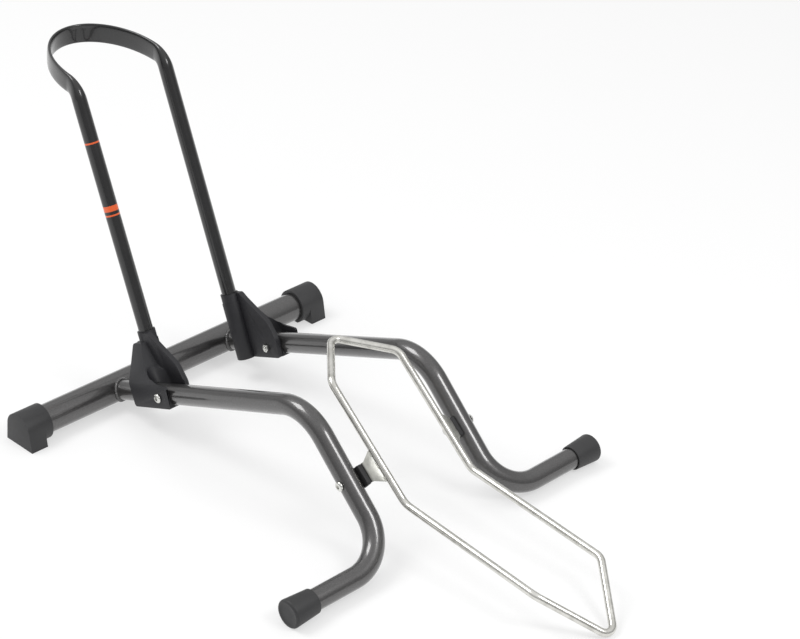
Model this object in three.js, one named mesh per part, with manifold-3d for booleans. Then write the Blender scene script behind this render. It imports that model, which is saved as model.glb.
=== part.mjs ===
// Folding floor stand that holds a bicycle upright by one wheel.
// Millimetres, +Z up, +X to the right. The wheel rolls in from -Y, between the legs and over the wire cradle.
// Origin: middle of the footprint, on the floor. Each paired piece is modelled on the +X side and mirrored.

import * as THREE from 'three';
import { mergeVertices } from 'three/addons/utils/BufferGeometryUtils.js';
import Module from 'manifold-3d';

const wasm = await Module();
wasm.setup();

// Fits
const touchGap = 0.3; // between two pieces that rest on each other
const boreGap = 0.3; // around a tube in its cap or socket, on the radius
const turnGap = 0.4; // around a leg in its bracket, on the radius
const boltGap = 0.3; // around a bolt in its hole, on the radius
const reach = 400; // longer than any piece that is cut
const overshoot = 1; // how far a cut runs past the face it opens

// Cross tube, along X
const crossRadius = 20;
const crossWall = 1.5;
const crossHalf = 256.5;
const crossHeight = 22.8;

// End caps of the cross tube: a round sleeve, and a foot block that widens down to the floor
const capWall = 4.3;
const capEndWall = 3.1;
const capSleeve = 38.9;
const capBlock = 25.7;
const capFootHalf = 27.9;
const capLift = 0.8; // floor to the underside of the sleeve
const capRound = 2;
const capRimBevel = 1;

// Legs: they rise forward from the cross tube, drop to the floor and turn outward
const legRadius = 14;
const legWall = 1.5;
const legSpread = 97.3; // centre plane to leg axis
const legSide = legSpread - legRadius - touchGap; // centre plane to what stands against the inside of a leg
const legDrop = 3.4; // cross tube axis down to the leg axis where they meet
const legRise = THREE.MathUtils.degToRad(20.94);
const legFall = THREE.MathUtils.degToRad(45.3);
const crestReach = 392.6;
const crestBend = 68;
const footBend = 60;
const footEnd = 261.2; // centre plane to the end of the foot tube

// Foot caps: tapered, widest at the outer end, flat where they stand
const footCapInner = 16.5;
const footCapOuter = 19;
const footCapFlat = 0.6;
const footCapLength = 39.5;
const footCapEndWall = 3;
const footCapRound = 3;
const roundShare = 0.3; // of the rounding that is left where an arc is cut to one flat

// Bolts and nuts
const boltRadius = 3;
const boltHead = 6.5;
const boltHeadHeight = 3.5;
const boltSocket = 2.9; // corner radius of the hexagon recess
const boltSocketDepth = 1.8;
const boltChamfer = 0.5;
const domeProfile = [
  [1, 0.3],
  [0.8, 0.75],
  [0.5, 1],
]; // shares of the head's radius and height
const nutRadius = 5.8;
const nutHeight = 5;
const boltProud = 1.2;

// Hoop: two uprights that bend back into a flattened half loop
const hoopRadius = 10;
const hoopWall = 1.5;
const hoopInset = 3.7; // inner face of the bracket in to the upright axis
const hoopSetback = 49.1; // pivot back to the upright axis, along the leg
const hoopFoot = 18; // pivot up to the lower end of the upright
const hoopStraight = 399.2; // pivot up to the bend
const hoopBend = 25.8;
const hoopTurn = THREE.MathUtils.degToRad(61.5);
const loopDepth = 100.8;
const bandWidth = 28;
const bandThickness = 5.5;

// Brackets: each clasps a leg, turns about its bolt and holds an upright
const bracketReach = 115.5; // cross tube forward to the pivot
const innerWall = 7; // leg slot in to the bracket's inner face
const flangeWall = 2.8; // leg slot out to the bracket's outer face
const floorWall = 0.6; // under the leg slot
const slotOuter = legSpread + legRadius + turnGap;
const bracketInner = legSide - innerWall;
const bracketOuter = slotOuter + flangeWall;
const bracketFloor = -(legRadius + turnGap + floorWall);
const hoopSpread = bracketInner - hoopInset; // centre plane to upright axis
const socketWall = 2.7;
const socketTop = 66;
const collarTop = 79;
const collarStep = 0.8;
const ribInset = 2; // socket's outer face in to the rib that joins it to the flange
const hoopFold = THREE.MathUtils.degToRad(108);
const outerOutline = [
  [-60, bracketFloor, 4],
  [21.5, bracketFloor, 3],
  [24, 15, 3],
  [0, 19.5, 20],
  [-26, 34, 14],
  [-41, 66, 3],
  [-60, 66, 3],
]; // forward of the pivot, above the pivot, corner radius
const innerOutline = [
  [-49, bracketFloor, 0],
  [20, bracketFloor, 3],
  [22.5, 12, 14],
  [14, 36, 20],
  [-33, 78, 3],
  [-49, 78, 0],
];
const taperFoot = 18; // pivot up to where the outer face begins to lean in
const taperIn = 23.5; // how far it has leaned in at the top of the socket

// Cradle: a closed wire loop that tips about two bolts in the sloping part of the legs
const wireRadius = 5;
const cradlePivotRun = 106.6; // crest down the slope to the pivot
const wireCorners = [
  [138, 107.3, 12],
  [73.2, 92.7, 20],
  [-58.9, -22.5, 25],
  [-279.8, -43.9, 20],
]; // behind the pivot, above the pivot, bend radius: rear tip, rear corner, low corner, front corner
const frontTipReach = 356.9; // pivot forward to where the two sides of the front tip would meet
const frontTipSink = 0.5; // floor down to the same place
const frontTipBend = 12;

// Pivot plates, welded under the wire, and the blocks between them and the legs
const plateWall = 2;
const blockRoom = 7; // between the plate and the inside of the leg
const plateFace = legSide - blockRoom; // centre plane to the outer face of the plate
const plateSpan = 14; // that face in to the side of the wire
const cradleHalf = plateFace - plateSpan - wireRadius; // centre plane to the wire's axis
const plateDrop = 6.5; // wire axis down to the folded edge of the plate
const plateTop = 1.2; // wire axis down to the edge along the wire
const plateTuck = 0.7; // that edge runs this far in under the wire
const plateLong = [-20.5, 23.5]; // ends of the edge along the wire, forward of the pivot
const plateShort = [-11.6, 15.8]; // ends of the folded edge
const plateEar = 10.5; // pivot down to the lower edge of the plate
const blockDrop = 2; // folded edge of the plate down to the block
const blockFloor = -6.5;

const steel = { metalness: 0.6, roughness: 0.35 };
const paint = new THREE.MeshStandardMaterial({ color: 0x4b4c4e, ...steel });
const blackPaint = new THREE.MeshStandardMaterial({ color: 0x26272a, metalness: 0.3, roughness: 0.4 });
const plastic = new THREE.MeshStandardMaterial({ color: 0x242527, metalness: 0, roughness: 0.55 });
const zinc = new THREE.MeshStandardMaterial({ color: 0xc8c8c3, metalness: 1, roughness: 0.3 });

// A closed geometry as a solid that can be joined and cut
function solid(geometry) {
  const bare = geometry.clone();
  bare.deleteAttribute('normal');
  bare.deleteAttribute('uv');
  const merged = mergeVertices(bare, 1e-4);
  return new wasm.Manifold(
    new wasm.Mesh({
      numProp: 3,
      vertProperties: new Float32Array(merged.attributes.position.array),
      triVerts: new Uint32Array(merged.index.array),
    })
  );
}

function geometryOf(body) {
  const mesh = body.getMesh();
  const geometry = new THREE.BufferGeometry();
  geometry.setAttribute('position', new THREE.BufferAttribute(new Float32Array(mesh.vertProperties), 3));
  geometry.setIndex(new THREE.BufferAttribute(new Uint32Array(mesh.triVerts), 1));
  geometry.computeVertexNormals();
  return geometry;
}

function mirrored(geometry) {
  const copy = geometry.clone().scale(-1, 1, 1);
  const index = copy.index.array;
  for (let i = 0; i < index.length; i += 3) {
    [index[i + 1], index[i + 2]] = [index[i + 2], index[i + 1]];
  }
  copy.computeVertexNormals();
  return copy;
}

function circle(radius) {
  return new THREE.Shape().absarc(0, 0, radius, 0, 2 * Math.PI);
}

// An outline whose corners [x, y, radius] are rounded by arcs
function roundedShape(corners) {
  const shape = new THREE.Shape();
  const at = corners.map(([x, y]) => new THREE.Vector2(x, y));
  corners.forEach(([, , radius], i) => {
    const corner = at[i];
    const back = at.at(i - 1).clone().sub(corner).normalize();
    const ahead = at[(i + 1) % at.length].clone().sub(corner).normalize();
    const half = Math.acos(THREE.MathUtils.clamp(back.dot(ahead), -1, 1)) / 2;
    const start = corner.clone().addScaledVector(back, radius / Math.tan(half));
    if (i === 0) shape.moveTo(start.x, start.y);
    else shape.lineTo(start.x, start.y);
    if (radius === 0) return;
    const centre = back.clone().add(ahead).normalize().multiplyScalar(radius / Math.sin(half)).add(corner);
    const end = corner.clone().addScaledVector(ahead, radius / Math.tan(half));
    const from = Math.atan2(start.y - centre.y, start.x - centre.x);
    const to = Math.atan2(end.y - centre.y, end.x - centre.x);
    shape.absarc(centre.x, centre.y, radius, from, to, back.cross(ahead) > 0);
  });
  return shape;
}

// A cylinder along X between two distances from the centre plane
function barX(radius, from, to, sides = 24) {
  const bar = new THREE.CylinderGeometry(radius, radius, to - from, sides);
  return bar.rotateZ(-Math.PI / 2).translate((from + to) / 2, 0, 0);
}

// A turned piece along X: points are [radius, distance from the centre plane]
function turnedX(points, sides = 24) {
  const profile = points.map(([radius, x]) => new THREE.Vector2(radius, x));
  return new THREE.LatheGeometry(profile, sides).rotateZ(-Math.PI / 2);
}

// An outline drawn as (forward, up) in the frame of a pivot, extruded along X
function slabX(shape, from, to, curveSegments = 4) {
  const slab = new THREE.ExtrudeGeometry(shape, { depth: to - from, bevelEnabled: false, curveSegments });
  const forward = new THREE.Vector3(0, -1, 0);
  const up = new THREE.Vector3(0, 0, 1);
  const inward = new THREE.Vector3(-1, 0, 0);
  return slab.applyMatrix4(new THREE.Matrix4().makeBasis(forward, up, inward)).translate(to, 0, 0);
}

// A route through chosen stations, so that straight runs take one step and bends take several
class Route extends THREE.Curve {
  constructor(stations) {
    super();
    this.stations = stations;
  }

  getPointAt(u) {
    return this.stations[Math.round(u * (this.stations.length - 1))].point.clone();
  }

  getTangentAt(u) {
    return this.stations[Math.round(u * (this.stations.length - 1))].tangent.clone();
  }
}

// Stations of the bend that rounds one corner of a route
function bend(before, corner, after, radius, steps) {
  const back = before.clone().sub(corner).normalize();
  const ahead = after.clone().sub(corner).normalize();
  const turn = Math.PI - back.angleTo(ahead);
  const centre = back.clone().add(ahead).normalize().multiplyScalar(radius / Math.cos(turn / 2)).add(corner);
  const start = corner.clone().addScaledVector(back, radius * Math.tan(turn / 2));
  const axis = ahead.clone().cross(back).normalize();
  return Array.from({ length: steps + 1 }, (_, i) => {
    const angle = (turn * i) / steps;
    return {
      point: start.clone().sub(centre).applyAxisAngle(axis, angle).add(centre),
      tangent: back.clone().negate().applyAxisAngle(axis, angle),
    };
  });
}

function station(point, toward) {
  return { point, tangent: toward.clone().sub(point).normalize() };
}

function tube(section, stations, sides) {
  return new THREE.ExtrudeGeometry(section, {
    steps: stations.length - 1,
    extrudePath: new Route(stations),
    curveSegments: sides,
  });
}

function ringSection(radius, wall) {
  const ring = circle(radius);
  if (wall > 0) ring.holes.push(new THREE.Path().absarc(0, 0, radius - wall, 0, 2 * Math.PI, true));
  return ring;
}

// Places that the pieces share
const footHeight = footCapOuter - footCapFlat;
const legEntry = crossHeight - legDrop;
const crestHeight = legEntry + crestReach * Math.tan(legRise);
const footReach = crestReach + (crestHeight - footHeight) / Math.tan(legFall);
const bracketPivot = new THREE.Vector3(0, -bracketReach, legEntry + bracketReach * Math.tan(legRise));
const cradlePivot = new THREE.Vector3(
  0,
  -crestReach - cradlePivotRun * Math.cos(legFall),
  crestHeight - cradlePivotRun * Math.sin(legFall)
);
const wirePlace = wireCorners.map(([behind, above]) => [cradlePivot.y + behind, cradlePivot.z + above]);
const wireRun = new THREE.Vector2(
  wireCorners[2][0] - wireCorners[1][0],
  wireCorners[2][1] - wireCorners[1][1]
).normalize(); // along the wire over the pivot, going forward
const wireTilt = Math.atan2(-wireRun.y, -wireRun.x);
const wireAbove = wireCorners[1][0] * wireRun.y - wireCorners[1][1] * wireRun.x; // pivot up to the wire

const rack = new THREE.Group();
const base = new THREE.Group();
const hoop = new THREE.Group();
const cradle = new THREE.Group();
const cradleEar = new THREE.Group();
rack.add(base, hoop, cradle);
cradle.add(cradleEar);
hoop.position.copy(bracketPivot);
hoop.rotation.x = -legRise; // forward is along the leg, up is square to it
cradleEar.position.copy(cradlePivot);
cradleEar.rotation.x = wireTilt; // forward is along the wire, up is square to it

function add(group, name, geometry, material) {
  const mesh = new THREE.Mesh(geometry, material.clone());
  mesh.name = name;
  group.add(mesh);
  return mesh;
}

function addPair(group, name, geometry, material, place = new THREE.Vector3()) {
  add(group, `${name}_right`, geometry, material).position.copy(place);
  add(group, `${name}_left`, mirrored(geometry), material).position.copy(place);
}

function addCrossTube() {
  const inside = crossRadius - crossWall;
  const profile = [
    [inside, -crossHalf],
    [crossRadius, -crossHalf],
    [crossRadius, crossHalf],
    [inside, crossHalf],
    [inside, -crossHalf],
  ];
  const geometry = turnedX(profile, 36).translate(0, 0, crossHeight);
  add(base, 'cross_tube', geometryOf(solid(geometry)), paint);
}

function addEndCaps() {
  const radius = crossRadius + boreGap + capWall;
  const outer = crossHalf + touchGap + capEndWall;
  const inner = outer - capSleeve;
  const toFoot = Math.atan2(-crossHeight, capFootHalf);
  const side = toFoot + Math.acos(radius / Math.hypot(capFootHalf, crossHeight));
  const section = new THREE.Shape();
  section.moveTo(-capFootHalf, 0);
  section.lineTo(capFootHalf, 0);
  section.absarc(0, crossHeight, radius, side, Math.PI - side);
  section.closePath();
  const block = new THREE.ExtrudeGeometry(section, {
    depth: capBlock - 2 * capRound,
    bevelThickness: capRound,
    bevelSize: capRound,
    bevelOffset: -capRound,
    bevelSegments: 2,
    curveSegments: 14,
  });
  // the outline is drawn as (back, up), so its depth runs along +X
  const back = new THREE.Vector3(0, 1, 0);
  const up = new THREE.Vector3(0, 0, 1);
  const outward = new THREE.Vector3(1, 0, 0);
  block.applyMatrix4(new THREE.Matrix4().makeBasis(back, up, outward));
  block.translate(outer - capBlock + capRound, 0, 0);
  const sleeve = turnedX([
    [0, inner],
    [radius - capRimBevel, inner],
    [radius, inner + capRimBevel],
    [radius, outer - capRound],
    [0, outer - capRound],
  ], 28).translate(0, 0, crossHeight);
  const under = new THREE.BoxGeometry(2 * capSleeve, 2 * radius, 2 * radius);
  under.translate((inner + outer) / 2, 0, capLift - radius);
  const bore = barX(crossRadius + boreGap, inner - overshoot, outer - capEndWall, 32);
  bore.translate(0, 0, crossHeight);
  const cap = solid(sleeve).subtract(solid(under)).add(solid(block)).subtract(solid(bore));
  addPair(base, 'end_cap', geometryOf(cap), plastic);
}

function addLegs() {
  const entry = new THREE.Vector3(legSpread, 0, legEntry);
  const crest = new THREE.Vector3(legSpread, -crestReach, crestHeight);
  const foot = new THREE.Vector3(legSpread, -footReach, footHeight);
  const end = new THREE.Vector3(footEnd, -footReach, footHeight);
  const stations = [
    station(entry, crest),
    ...bend(entry, crest, foot, crestBend, 6),
    ...bend(crest, foot, end, footBend, 7),
    { point: end, tangent: new THREE.Vector3(1, 0, 0) },
  ];
  const leg = solid(tube(ringSection(legRadius, legWall), stations, 10));
  const joint = barX(crossRadius + touchGap, 0, crossHalf, 36).translate(0, 0, crossHeight);
  const hole = barX(boltRadius + boltGap, legSpread - 2 * legRadius, legSpread + 2 * legRadius, 12);
  const drilled = [bracketPivot, cradlePivot].reduce(
    (body, pivot) => body.subtract(solid(hole.clone().translate(0, pivot.y, pivot.z))),
    leg.subtract(solid(joint))
  );
  addPair(base, 'leg_tube', geometryOf(drilled), paint);
}

function addFootCaps() {
  const outer = footEnd + touchGap + footCapEndWall;
  const inner = outer - footCapLength;
  const cap = turnedX([
    [0, inner],
    [footCapInner, inner],
    [footCapOuter, outer - footCapRound],
    [footCapOuter - footCapRound * roundShare, outer - footCapRound * roundShare],
    [footCapOuter - footCapRound, outer],
    [0, outer],
  ]);
  const bore = barX(legRadius + boreGap, inner - overshoot, outer - footCapEndWall);
  const floor = new THREE.BoxGeometry(2 * footCapLength, 4 * footCapOuter, footCapOuter);
  floor.translate(outer, 0, -footHeight - footCapOuter / 2);
  const place = new THREE.Vector3(0, -footReach, footHeight);
  addPair(base, 'foot_cap', geometryOf(solid(cap).subtract(solid(bore)).subtract(solid(floor))), plastic, place);
}

// A bolt along X with a domed head at its outer end, and the nut at its inner end
function addBolt(name, place, seat, nutSeat) {
  const tip = nutSeat - touchGap - nutHeight - boltProud;
  const bearing = seat + touchGap;
  const body = turnedX([
    [0, tip],
    [boltRadius - boltChamfer, tip],
    [boltRadius, tip + boltChamfer],
    [boltRadius, bearing],
    [boltHead, bearing],
    ...domeProfile.map(([wide, high]) => [boltHead * wide, bearing + boltHeadHeight * high]),
    [0, bearing + boltHeadHeight],
  ], 16);
  const recessFloor = bearing + boltHeadHeight - boltSocketDepth;
  const recess = barX(boltSocket, recessFloor, recessFloor + boltHeadHeight, 6);
  addPair(base, `${name}_bolt`, geometryOf(solid(body).subtract(solid(recess))), zinc, place);
  const hexagon = barX(nutRadius, nutSeat - touchGap - nutHeight, nutSeat - touchGap, 6);
  const thread = barX(boltRadius + boltGap, tip - overshoot, nutSeat + overshoot, 12);
  addPair(base, `${name}_nut`, geometryOf(solid(hexagon).subtract(solid(thread))), zinc, place);
}

// Round in the uprights, flat on edge in the loop. thin lies across the tube, wide lies along the loop's own axis.
function hoopStation(point, tangent, thin, flat) {
  const wide = tangent.clone().cross(thin);
  return {
    point,
    thin,
    wide,
    halfThin: THREE.MathUtils.lerp(hoopRadius, bandThickness / 2, flat),
    halfWide: THREE.MathUtils.lerp(hoopRadius, bandWidth / 2, flat),
  };
}

// A cylinder bent so that each of its rings lies on one station
function loft(stations, wall, sides) {
  const geometry = new THREE.CylinderGeometry(1, 1, 1, sides, stations.length - 1);
  const position = geometry.attributes.position;
  for (let i = 0; i < position.count; i++) {
    const ring = stations[Math.round((0.5 - position.getY(i)) * (stations.length - 1))];
    const place = ring.point.clone();
    place.addScaledVector(ring.thin, position.getX(i) * (ring.halfThin - wall));
    place.addScaledVector(ring.wide, position.getZ(i) * (ring.halfWide - wall));
    position.setXYZ(i, place.x, place.y, place.z);
  }
  return geometry;
}

// In the frame of the bracket pivot: y runs back along the leg, z square to it
function hoopHalf() {
  const across = new THREE.Vector3(1, 0, 0);
  const upright = new THREE.Vector3(0, 0, 1);
  const stations = [];
  const bendSteps = 5;
  const loopSteps = 9;
  const flatten = (share) => THREE.MathUtils.smoothstep(share, 0, 1);
  stations.push(hoopStation(new THREE.Vector3(hoopSpread, hoopSetback, hoopFoot), upright, across, 0));
  const bendCentre = new THREE.Vector3(hoopSpread, hoopSetback + hoopBend, hoopStraight);
  const flatStart = hoopStraight - hoopBend;
  stations.push(hoopStation(new THREE.Vector3(hoopSpread, hoopSetback, flatStart), upright, across, 0));
  const flatSteps = bendSteps + 3;
  for (let i = 0; i <= bendSteps; i++) {
    const turn = (hoopTurn * i) / bendSteps;
    const out = new THREE.Vector3(0, -Math.cos(turn), Math.sin(turn));
    const along = new THREE.Vector3(0, Math.sin(turn), Math.cos(turn));
    const point = bendCentre.clone().addScaledVector(out, hoopBend);
    stations.push(hoopStation(point, along, across, flatten((i + 1) / flatSteps)));
  }
  const loopAxis = new THREE.Vector3(0, Math.sin(hoopTurn), Math.cos(hoopTurn));
  const start = stations.at(-1).point.clone().setX(0);
  for (let i = 1; i <= loopSteps; i++) {
    const angle = (Math.PI / 2) * (i / loopSteps);
    const point = start.clone().addScaledVector(loopAxis, loopDepth * Math.sin(angle));
    point.x = hoopSpread * Math.cos(angle);
    const along = loopAxis.clone().multiplyScalar(loopDepth * Math.cos(angle));
    along.x = -hoopSpread * Math.sin(angle);
    along.normalize();
    const wide = across.clone().cross(loopAxis).negate();
    const thin = wide.clone().cross(along);
    stations.push(hoopStation(point, along, thin, flatten((i + 1 + bendSteps) / flatSteps)));
  }
  return stations;
}

function addHoop() {
  const half = hoopHalf();
  const other = half.slice(0, -1).reverse().map((ring) => ({
    ...ring,
    point: ring.point.clone().setX(-ring.point.x),
    thin: ring.thin.clone().setX(-ring.thin.x),
    wide: ring.wide.clone(),
  }));
  const stations = [...half, ...other];
  const longer = stations.map((ring) => ({ ...ring, point: ring.point.clone() }));
  longer[0].point.z -= overshoot;
  longer.at(-1).point.z -= overshoot;
  const body = solid(loft(stations, 0, 16)).subtract(solid(loft(longer, hoopWall, 10)));
  add(hoop, 'hoop_tube', geometryOf(body), blackPaint);
}

function addBrackets() {
  const socketRadius = hoopRadius + boreGap + socketWall;
  const slab = (corners, from, to) => solid(slabX(roundedShape(corners), from, to));
  const socket = (radius, from, to) => {
    const bar = new THREE.CylinderGeometry(radius, radius, to - from, 24).rotateX(Math.PI / 2);
    return solid(bar.translate(hoopSpread, hoopSetback, (from + to) / 2));
  };
  const outline = slab(outerOutline, legSide, bracketOuter);
  const inner = slab(innerOutline, bracketInner, legSide);
  const ribBack = -hoopSetback - socketRadius + ribInset;
  const rib = slab([
    [ribBack, bracketFloor, 0],
    [-hoopSetback, bracketFloor, 0],
    [-hoopSetback, socketTop, 0],
    [ribBack, socketTop, 0],
  ], hoopSpread, legSide);
  const body = outline.add(inner).add(rib);
  const sleeve = socket(socketRadius, bracketFloor, socketTop).add(
    socket(socketRadius - collarStep, socketTop - overshoot, collarTop)
  );

  // the outer face leans in toward the upright
  const leaning = new THREE.Shape();
  leaning.moveTo(bracketOuter, taperFoot);
  leaning.lineTo(bracketOuter - taperIn, socketTop);
  leaning.lineTo(bracketOuter - taperIn, collarTop);
  leaning.lineTo(bracketOuter + overshoot, collarTop);
  leaning.lineTo(bracketOuter + overshoot, taperFoot);
  leaning.closePath();
  const wedge = new THREE.ExtrudeGeometry(leaning, { depth: reach, bevelEnabled: false });
  wedge.rotateX(Math.PI / 2).translate(0, reach / 2, 0);

  // the leg passes between the flanges, and swings from flat to the folded angle
  const sweep = (turn) => {
    const leg = new THREE.CylinderGeometry(legRadius + turnGap, legRadius + turnGap, reach, 24);
    return solid(leg.rotateX(-turn).translate(legSpread, 0, 0));
  };
  const foldEdge = new THREE.Vector2(Math.cos(hoopFold), Math.sin(hoopFold)).multiplyScalar(reach);
  const sector = (sign) => {
    const wedgeShape = new THREE.Shape();
    wedgeShape.moveTo(0, 0);
    wedgeShape.lineTo(sign * reach, 0);
    wedgeShape.lineTo(sign * reach, sign * reach);
    wedgeShape.lineTo(sign * foldEdge.x, sign * foldEdge.y);
    wedgeShape.closePath();
    return solid(slabX(wedgeShape, legSide, slotOuter));
  };
  const boreRadius = hoopRadius + boreGap;
  const bore = new THREE.CylinderGeometry(boreRadius, boreRadius, collarTop - hoopFoot + 2 * overshoot, 24);
  bore.rotateX(Math.PI / 2).translate(hoopSpread, hoopSetback, (collarTop + hoopFoot) / 2 + overshoot - touchGap);
  const hole = barX(boltRadius + boltGap, bracketInner - overshoot, bracketOuter + overshoot, 12);
  const cuts = [sweep(0), sweep(hoopFold), sector(1), sector(-1), solid(bore), solid(hole)];
  const bracket = cuts.reduce((whole, cut) => whole.subtract(cut), body.subtract(solid(wedge)).add(sleeve));
  addPair(hoop, 'hoop_bracket', geometryOf(bracket), plastic);
}

function addCradleWire() {
  const corner = (i) => new THREE.Vector3(cradleHalf, ...wirePlace[i]);
  const rearTip = corner(0).setX(0);
  const frontTip = new THREE.Vector3(0, cradlePivot.y - frontTipReach, -frontTipSink);
  const [rear, low, front] = [corner(1), corner(2), corner(3)];
  const flip = (point) => point.clone().setX(-point.x);
  const tipSteps = 6;
  const stations = [
    ...bend(flip(rear), rearTip, rear, wireCorners[0][2], tipSteps).slice(tipSteps / 2),
    ...bend(rearTip, rear, low, wireCorners[1][2], 4),
    ...bend(rear, low, front, wireCorners[2][2], 3),
    ...bend(low, front, frontTip, wireCorners[3][2], 4),
    ...bend(front, frontTip, flip(front), frontTipBend, tipSteps).slice(0, tipSteps / 2 + 1),
  ];
  const half = geometryOf(solid(tube(circle(wireRadius), stations, 5)));
  add(cradle, 'cradle_wire', geometryOf(solid(half).add(solid(mirrored(half)))), zinc);
}

function addPivotPlates() {
  const foldHeight = wireAbove - plateDrop;
  const edge = cradleHalf + wireRadius + touchGap;
  const lean = new THREE.Shape(); // the sloping part in section: distance from the centre plane, height
  lean.moveTo(edge, wireAbove - plateTop);
  lean.lineTo(edge - plateTuck, wireAbove - plateTop - plateWall);
  lean.lineTo(plateFace - plateWall, foldHeight - plateWall);
  lean.lineTo(plateFace, foldHeight - plateWall);
  lean.lineTo(plateFace, foldHeight);
  lean.closePath();
  const sheet = new THREE.ExtrudeGeometry(lean, { depth: reach, bevelEnabled: false });
  sheet.rotateX(Math.PI / 2).translate(0, reach / 2, 0);
  const plan = new THREE.Shape(); // the sloping part from above: distance from the centre plane, back
  plan.moveTo(cradleHalf, -plateLong[1]);
  plan.lineTo(edge, -plateLong[1]);
  plan.lineTo(plateFace, -plateShort[1]);
  plan.lineTo(plateFace, -plateShort[0]);
  plan.lineTo(edge, -plateLong[0]);
  plan.lineTo(cradleHalf, -plateLong[0]);
  plan.closePath();
  const trim = new THREE.ExtrudeGeometry(plan, { depth: reach, bevelEnabled: false }).translate(0, 0, -reach / 2);
  const earRound = 0.9 * plateEar;
  const ear = roundedShape([
    [plateShort[0], foldHeight - plateWall / 2, 0],
    [-plateEar, -plateEar, earRound],
    [plateEar, -plateEar, earRound],
    [plateShort[1], foldHeight - plateWall / 2, 0],
  ]);
  const plate = solid(sheet).intersect(solid(trim)).add(solid(slabX(ear, plateFace - plateWall, plateFace)));
  const hole = barX(boltRadius + boltGap, plateFace - 2 * plateWall, plateFace + overshoot, 12);
  addPair(cradleEar, 'pivot_plate', geometryOf(plate.subtract(solid(hole))), zinc);
  const blockTop = foldHeight - blockDrop;
  const block = roundedShape([
    [plateShort[0], blockFloor, 3],
    [plateShort[1], blockFloor, 3],
    [plateShort[1], blockTop, 3],
    [plateShort[0], blockTop, 3],
  ]);
  block.holes.push(new THREE.Path().absarc(0, 0, boltRadius + boltGap, 0, 2 * Math.PI, true));
  const blockGeometry = slabX(block, plateFace + touchGap, legSide, 6);
  addPair(cradleEar, 'spacer_block', geometryOf(solid(blockGeometry)), plastic);
}

addCrossTube();
addEndCaps();
addLegs();
addFootCaps();
addBolt('bracket', bracketPivot, bracketOuter, bracketInner);
addBolt('cradle', cradlePivot, legSpread + legRadius, plateFace - plateWall);
addHoop();
addBrackets();
addCradleWire();
addPivotPlates();

// the origin goes to the middle of the footprint
rack.updateMatrixWorld(true);
const box = new THREE.Box3().setFromObject(rack, true);
rack.position.y = -(box.min.y + box.max.y) / 2;

export default rack;
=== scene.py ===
import math

import bmesh
import bpy
from mathutils import Matrix, Vector


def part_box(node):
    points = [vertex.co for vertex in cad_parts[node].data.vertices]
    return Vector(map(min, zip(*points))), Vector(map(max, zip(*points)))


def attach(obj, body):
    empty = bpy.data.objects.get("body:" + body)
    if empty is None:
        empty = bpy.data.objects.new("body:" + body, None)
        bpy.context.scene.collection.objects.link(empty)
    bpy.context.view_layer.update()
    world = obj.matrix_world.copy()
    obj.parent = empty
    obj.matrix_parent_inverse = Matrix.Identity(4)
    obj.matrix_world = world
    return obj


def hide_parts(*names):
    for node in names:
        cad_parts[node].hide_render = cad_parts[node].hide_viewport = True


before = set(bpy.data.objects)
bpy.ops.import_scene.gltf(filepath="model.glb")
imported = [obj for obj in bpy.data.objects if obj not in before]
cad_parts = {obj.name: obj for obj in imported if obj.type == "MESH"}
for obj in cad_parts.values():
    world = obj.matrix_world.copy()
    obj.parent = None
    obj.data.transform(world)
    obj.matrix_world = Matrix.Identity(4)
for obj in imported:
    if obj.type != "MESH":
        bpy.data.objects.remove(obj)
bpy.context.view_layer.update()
print("frame loaded")

mm = 0.001
crossLow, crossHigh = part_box("cross_tube")
crossMiddle = (crossLow + crossHigh) / 2

# lines that several pieces share, in mm from the floor and forward of the cross tube
layout = {
    "crossRadius": 20,
    "crossHalf": 256.5,
    "legRadius": 14,
    "legSpread": 97.3,
    "legEntry": 19.4,
    "legRise": 20.94,
    "legFall": 45.3,
    "crestReach": 392.6,
    "footHeight": 18.4,
    "bracketReach": 115.5,
    "cradleRun": 106.6,
    "gap": 0.3,
}


# mm to the side, forward of the cross tube and above the floor, as a point of the frame
def place(side, forward, height):
    return Vector((side * mm, crossMiddle.y - forward * mm, height * mm))


legRise = math.radians(layout["legRise"])
legFall = math.radians(layout["legFall"])
crestHeight = layout["legEntry"] + layout["crestReach"] * math.tan(legRise)
footReach = layout["crestReach"] + (crestHeight - layout["footHeight"]) / math.tan(legFall)
bracketPivot = place(
    0, layout["bracketReach"], layout["legEntry"] + layout["bracketReach"] * math.tan(legRise)
)
cradlePivot = place(
    0,
    layout["crestReach"] + layout["cradleRun"] * math.cos(legFall),
    crestHeight - layout["cradleRun"] * math.sin(legFall),
)


# an sRGB hex colour as the linear values that shaders work in
def toLinear(hexColour):
    parts = [int(hexColour[i:i + 2], 16) / 255 for i in (1, 3, 5)]
    return [p / 12.92 if p <= 0.04045 else ((p + 0.055) / 1.055) ** 2.4 for p in parts] + [1]


# links sockets to the named inputs of a node
def feed(tree, node, links):
    for key, socket in links.items():
        tree.links.new(socket, node.inputs[key])


# adds a node, with its settings, its plain values and its links
def addNode(tree, kind, values=None, links=None, **settings):
    node = tree.nodes.new(kind)
    for key, value in settings.items():
        setattr(node, key, value)
    for key, value in (values or {}).items():
        node.inputs[key].default_value = value
    feed(tree, node, links or {})
    return node


def setRamp(node, stops):
    for element, (position, colour) in zip(node.color_ramp.elements, stops):
        element.position = position
        element.color = colour


# the output range of a Map Range node
def outRange(low, high):
    return {"To Min": low, "To Max": high}


def newMaterial(name, values):
    material = bpy.data.materials.new(name)
    material.use_nodes = True
    tree = material.node_tree
    tree.nodes.clear()
    shader = addNode(tree, "ShaderNodeBsdfPrincipled", values)
    addNode(tree, "ShaderNodeOutputMaterial", links={"Surface": shader.outputs["BSDF"]})
    where = addNode(tree, "ShaderNodeTexCoord").outputs["Object"]
    return material, tree, shader, where


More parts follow.
